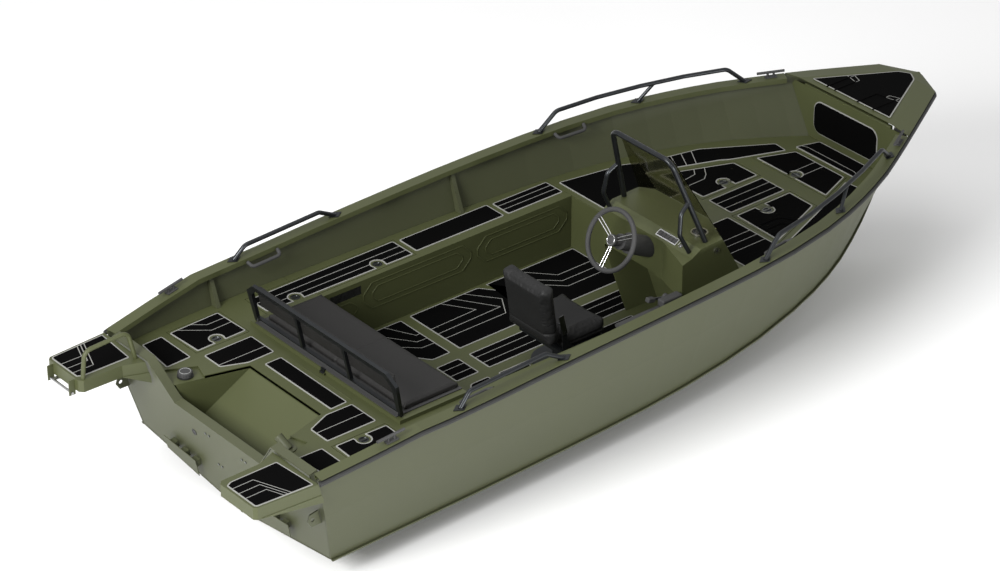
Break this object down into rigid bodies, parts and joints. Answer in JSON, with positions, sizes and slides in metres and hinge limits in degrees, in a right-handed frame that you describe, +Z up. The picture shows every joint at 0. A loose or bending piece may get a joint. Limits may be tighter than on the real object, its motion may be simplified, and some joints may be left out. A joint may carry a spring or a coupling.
{
  "type": "open motor boat",
  "caption": "Open welded boat with side console, stern bench, helm seat, flush hatches, grab rails and boarding platforms.",
  "frame": {"origin": "under the middle of the boat's overall length, on the centreline, on the surface that the keel bar stands on", "axes": "+X towards the bow, +Y to port, +Z up"},
  "size_m": [5.4958, 2.0338, 1.427],
  "materials": {
    "painted_hull": "satin",
    "painted_deck": "satin",
    "foam": "matte",
    "vinyl": "matte",
    "rubber": "matte",
    "anodised": "satin",
    "stainless": "polished",
    "black_plastic": "matte",
    "tinted": "gloss"
  },
  "bodies": {
    "hull": {"bottom_plates": "painted_hull", "side_plates": "painted_hull", "transom": "painted_hull", "keel_and_chine_rails": "painted_hull", "hull_frames": "painted_hull", "gunwale_caps": "painted_deck", "rub_rails": "rubber", "foredeck": "painted_deck", "bow_deck": "painted_deck", "side_lockers": "painted_deck", "cockpit_floor": "painted_deck", "aft_deck": "painted_deck", "motor_well": "painted_deck", "swim_platforms": "painted_hull", "transom_fittings": "painted_deck", "fuel_system": "black_plastic", "foam_pads": "foam", "deck_hardware": "anodised", "grab_rails": "anodised", "bench_base": "anodised", "seat_pedestal": "anodised", "console_shell": "painted_deck", "switch_panel": "black_plastic", "helm_unit": "black_plastic", "control_box": "black_plastic", "cup_holder": "black_plastic", "windshield_frame": "anodised", "windshield_screen": "tinted"},
    "bench_seat": {"bench_seat_board": "anodised", "bench_cushion": "vinyl"},
    "bench_back": {"bench_back_frame": "anodised", "bench_back_cushion": "vinyl"},
    "bench_catch": {"bench_latch": "stainless"},
    "helm_seat": {"seat_frame": "anodised", "seat_cushion": "vinyl"},
    "helm_seat_back": {"seat_back_cushion": "vinyl", "seat_back_hinges": "anodised"},
    "wheel": {"steering_wheel": "anodised"},
    "throttle": {"throttle_lever": "black_plastic"},
    "key": {"ignition_key": "stainless"},
    "filler_cap": {"fuel_cap": "black_plastic"},
    "ladder": {"boarding_ladder": "stainless"},
    "lid_aft_port": {"hatch_aft_port": "painted_deck"},
    "lid_aft_starboard": {"hatch_aft_starboard": "painted_deck"},
    "lid_locker_port": {"hatch_locker_port": "painted_deck"},
    "lid_bow_port": {"hatch_bow_port": "painted_deck"},
    "lid_bow_starboard": {"hatch_bow_starboard": "painted_deck"},
    "lid_bow_forward": {"hatch_bow_forward": "painted_deck"},
    "turn_latch_aft_port": {"latch_aft_port": "stainless"},
    "turn_latch_aft_starboard": {"latch_aft_starboard": "stainless"},
    "turn_latch_locker_aft": {"latch_locker_aft": "stainless"},
    "turn_latch_locker_fore": {"latch_locker_fore": "stainless"},
    "turn_latch_bow_port": {"latch_bow_port": "stainless"},
    "turn_latch_bow_starboard": {"latch_bow_starboard": "stainless"},
    "turn_latch_bow_forward": {"latch_bow_forward": "stainless"},
    "rocker_1": {"rocker_switch_1": "black_plastic"},
    "rocker_2": {"rocker_switch_2": "black_plastic"},
    "rocker_3": {"rocker_switch_3": "black_plastic"},
    "rocker_4": {"rocker_switch_4": "black_plastic"},
    "rocker_5": {"rocker_switch_5": "black_plastic"}
  },
  "joints": [
    {"name": "lid_aft_port_hinge", "type": "hinge", "parent": "hull", "child": "lid_aft_port", "pos_m": [-1.8299, 0.855, 0.63], "axis": [-1, 0, 0], "range_deg": [0, 90]},
    {"name": "lid_aft_starboard_hinge", "type": "hinge", "parent": "hull", "child": "lid_aft_starboard", "pos_m": [-1.8299, -0.855, 0.63], "axis": [1, 0, 0], "range_deg": [0, 90]},
    {"name": "lid_locker_port_hinge", "type": "hinge", "parent": "hull", "child": "lid_locker_port", "pos_m": [-0.9729, 0.87, 0.63], "axis": [-1, 0, 0], "range_deg": [0, 90]},
    {"name": "lid_bow_port_hinge", "type": "hinge", "parent": "hull", "child": "lid_bow_port", "pos_m": [1.3851, 0.424, 0.63], "axis": [-0.9353, 0.3539, 0], "range_deg": [0, 90]},
    {"name": "lid_bow_starboard_hinge", "type": "hinge", "parent": "hull", "child": "lid_bow_starboard", "pos_m": [1.3851, -0.424, 0.63], "axis": [0.9353, 0.3539, 0], "range_deg": [0, 90]},
    {"name": "lid_bow_forward_hinge", "type": "hinge", "parent": "hull", "child": "lid_bow_forward", "pos_m": [1.9721, 0, 0.63], "axis": [0, 1, 0], "range_deg": [0, 90]},
    {"name": "turn_latch_aft_port_turn", "type": "hinge", "parent": "lid_aft_port", "child": "turn_latch_aft_port", "pos_m": [-1.8349, 0.637, 0.624], "axis": [0, 0, -1], "range_deg": [0, 90]},
    {"name": "turn_latch_aft_starboard_turn", "type": "hinge", "parent": "lid_aft_starboard", "child": "turn_latch_aft_starboard", "pos_m": [-1.8349, -0.637, 0.624], "axis": [0, 0, 1], "range_deg": [0, 90]},
    {"name": "turn_latch_locker_aft_turn", "type": "hinge", "parent": "lid_locker_port", "child": "turn_latch_locker_aft", "pos_m": [-1.2559, 0.718, 0.624], "axis": [0, 0, -1], "range_deg": [0, 90]},
    {"name": "turn_latch_locker_fore_turn", "type": "hinge", "parent": "lid_locker_port", "child": "turn_latch_locker_fore", "pos_m": [-0.6969, 0.718, 0.624], "axis": [0, 0, -1], "range_deg": [0, 90]},
    {"name": "turn_latch_bow_port_turn", "type": "hinge", "parent": "lid_bow_port", "child": "turn_latch_bow_port", "pos_m": [1.3921, 0.198, 0.624], "axis": [0, 0, -1], "range_deg": [0, 90]},
    {"name": "turn_latch_bow_starboard_turn", "type": "hinge", "parent": "lid_bow_starboard", "child": "turn_latch_bow_starboard", "pos_m": [1.3621, -0.198, 0.624], "axis": [0, 0, 1], "range_deg": [0, 90]},
    {"name": "turn_latch_bow_forward_turn", "type": "hinge", "parent": "lid_bow_forward", "child": "turn_latch_bow_forward", "pos_m": [1.7701, 0, 0.624], "axis": [0, 0, 1], "range_deg": [0, 90]},
    {"name": "filler_cap_unscrew", "type": "hinge", "parent": "hull", "child": "filler_cap", "pos_m": [-2.1679, 0.452, 0.637], "axis": [0, 0, 1], "range_deg": [0, 360]},
    {"name": "wheel_turn", "type": "hinge", "parent": "hull", "child": "wheel", "pos_m": [0.1271, -0.276, 0.918], "axis": [-0.891, 0, 0.454], "range_deg": [-540, 540]},
    {"name": "throttle_push", "type": "hinge", "parent": "hull", "child": "throttle", "pos_m": [0.2321, -0.602, 0.674], "axis": [0, 1, 0], "range_deg": [0, 110]},
    {"name": "key_turn", "type": "hinge", "parent": "hull", "child": "key", "pos_m": [0.41528, -0.52, 0.88111], "axis": [-0.5039, 0, 0.8638], "range_deg": [0, 80]},
    {"name": "rocker_1_tilt", "type": "hinge", "parent": "hull", "child": "rocker_1", "pos_m": [0.41851, -0.348, 0.88947], "axis": [0, 1, 0], "range_deg": [-5, 5]},
    {"name": "rocker_2_tilt", "type": "hinge", "parent": "hull", "child": "rocker_2", "pos_m": [0.41851, -0.3775, 0.88947], "axis": [0, 1, 0], "range_deg": [-5, 5]},
    {"name": "rocker_3_tilt", "type": "hinge", "parent": "hull", "child": "rocker_3", "pos_m": [0.41851, -0.407, 0.88947], "axis": [0, 1, 0], "range_deg": [-5, 5]},
    {"name": "rocker_4_tilt", "type": "hinge", "parent": "hull", "child": "rocker_4", "pos_m": [0.41851, -0.4365, 0.88947], "axis": [0, 1, 0], "range_deg": [-5, 5]},
    {"name": "rocker_5_tilt", "type": "hinge", "parent": "hull", "child": "rocker_5", "pos_m": [0.41851, -0.466, 0.88947], "axis": [0, 1, 0], "range_deg": [-5, 5]},
    {"name": "bench_tilt", "type": "hinge", "parent": "hull", "child": "bench_seat", "pos_m": [-1.1639, 0, 0.653], "axis": [0, 1, 0], "range_deg": [0, 75]},
    {"name": "bench_back_fold", "type": "hinge", "parent": "bench_seat", "child": "bench_back", "pos_m": [-1.5809, 0, 0.668], "axis": [0, 1, 0], "range_deg": [0, 55]},
    {"name": "bench_catch_swing", "type": "hinge", "parent": "hull", "child": "bench_catch", "pos_m": [-1.6179, 0, 0.638], "axis": [0, -1, 0], "range_deg": [0, 90]},
    {"name": "helm_seat_swivel", "type": "hinge", "parent": "hull", "child": "helm_seat", "pos_m": [-0.2199, -0.271, 0.462], "axis": [0, 0, 1], "range_deg": [-100, 100]},
    {"name": "helm_seat_back_fold", "type": "hinge", "parent": "helm_seat", "child": "helm_seat_back", "pos_m": [-0.3529, -0.271, 0.612], "axis": [0, 1, 0], "range_deg": [0, 80]},
    {"name": "ladder_fold", "type": "hinge", "parent": "hull", "child": "ladder", "pos_m": [-2.7339, 0.762, 0.639], "axis": [0, 1, 0], "range_deg": [0, 90]}
  ]
}
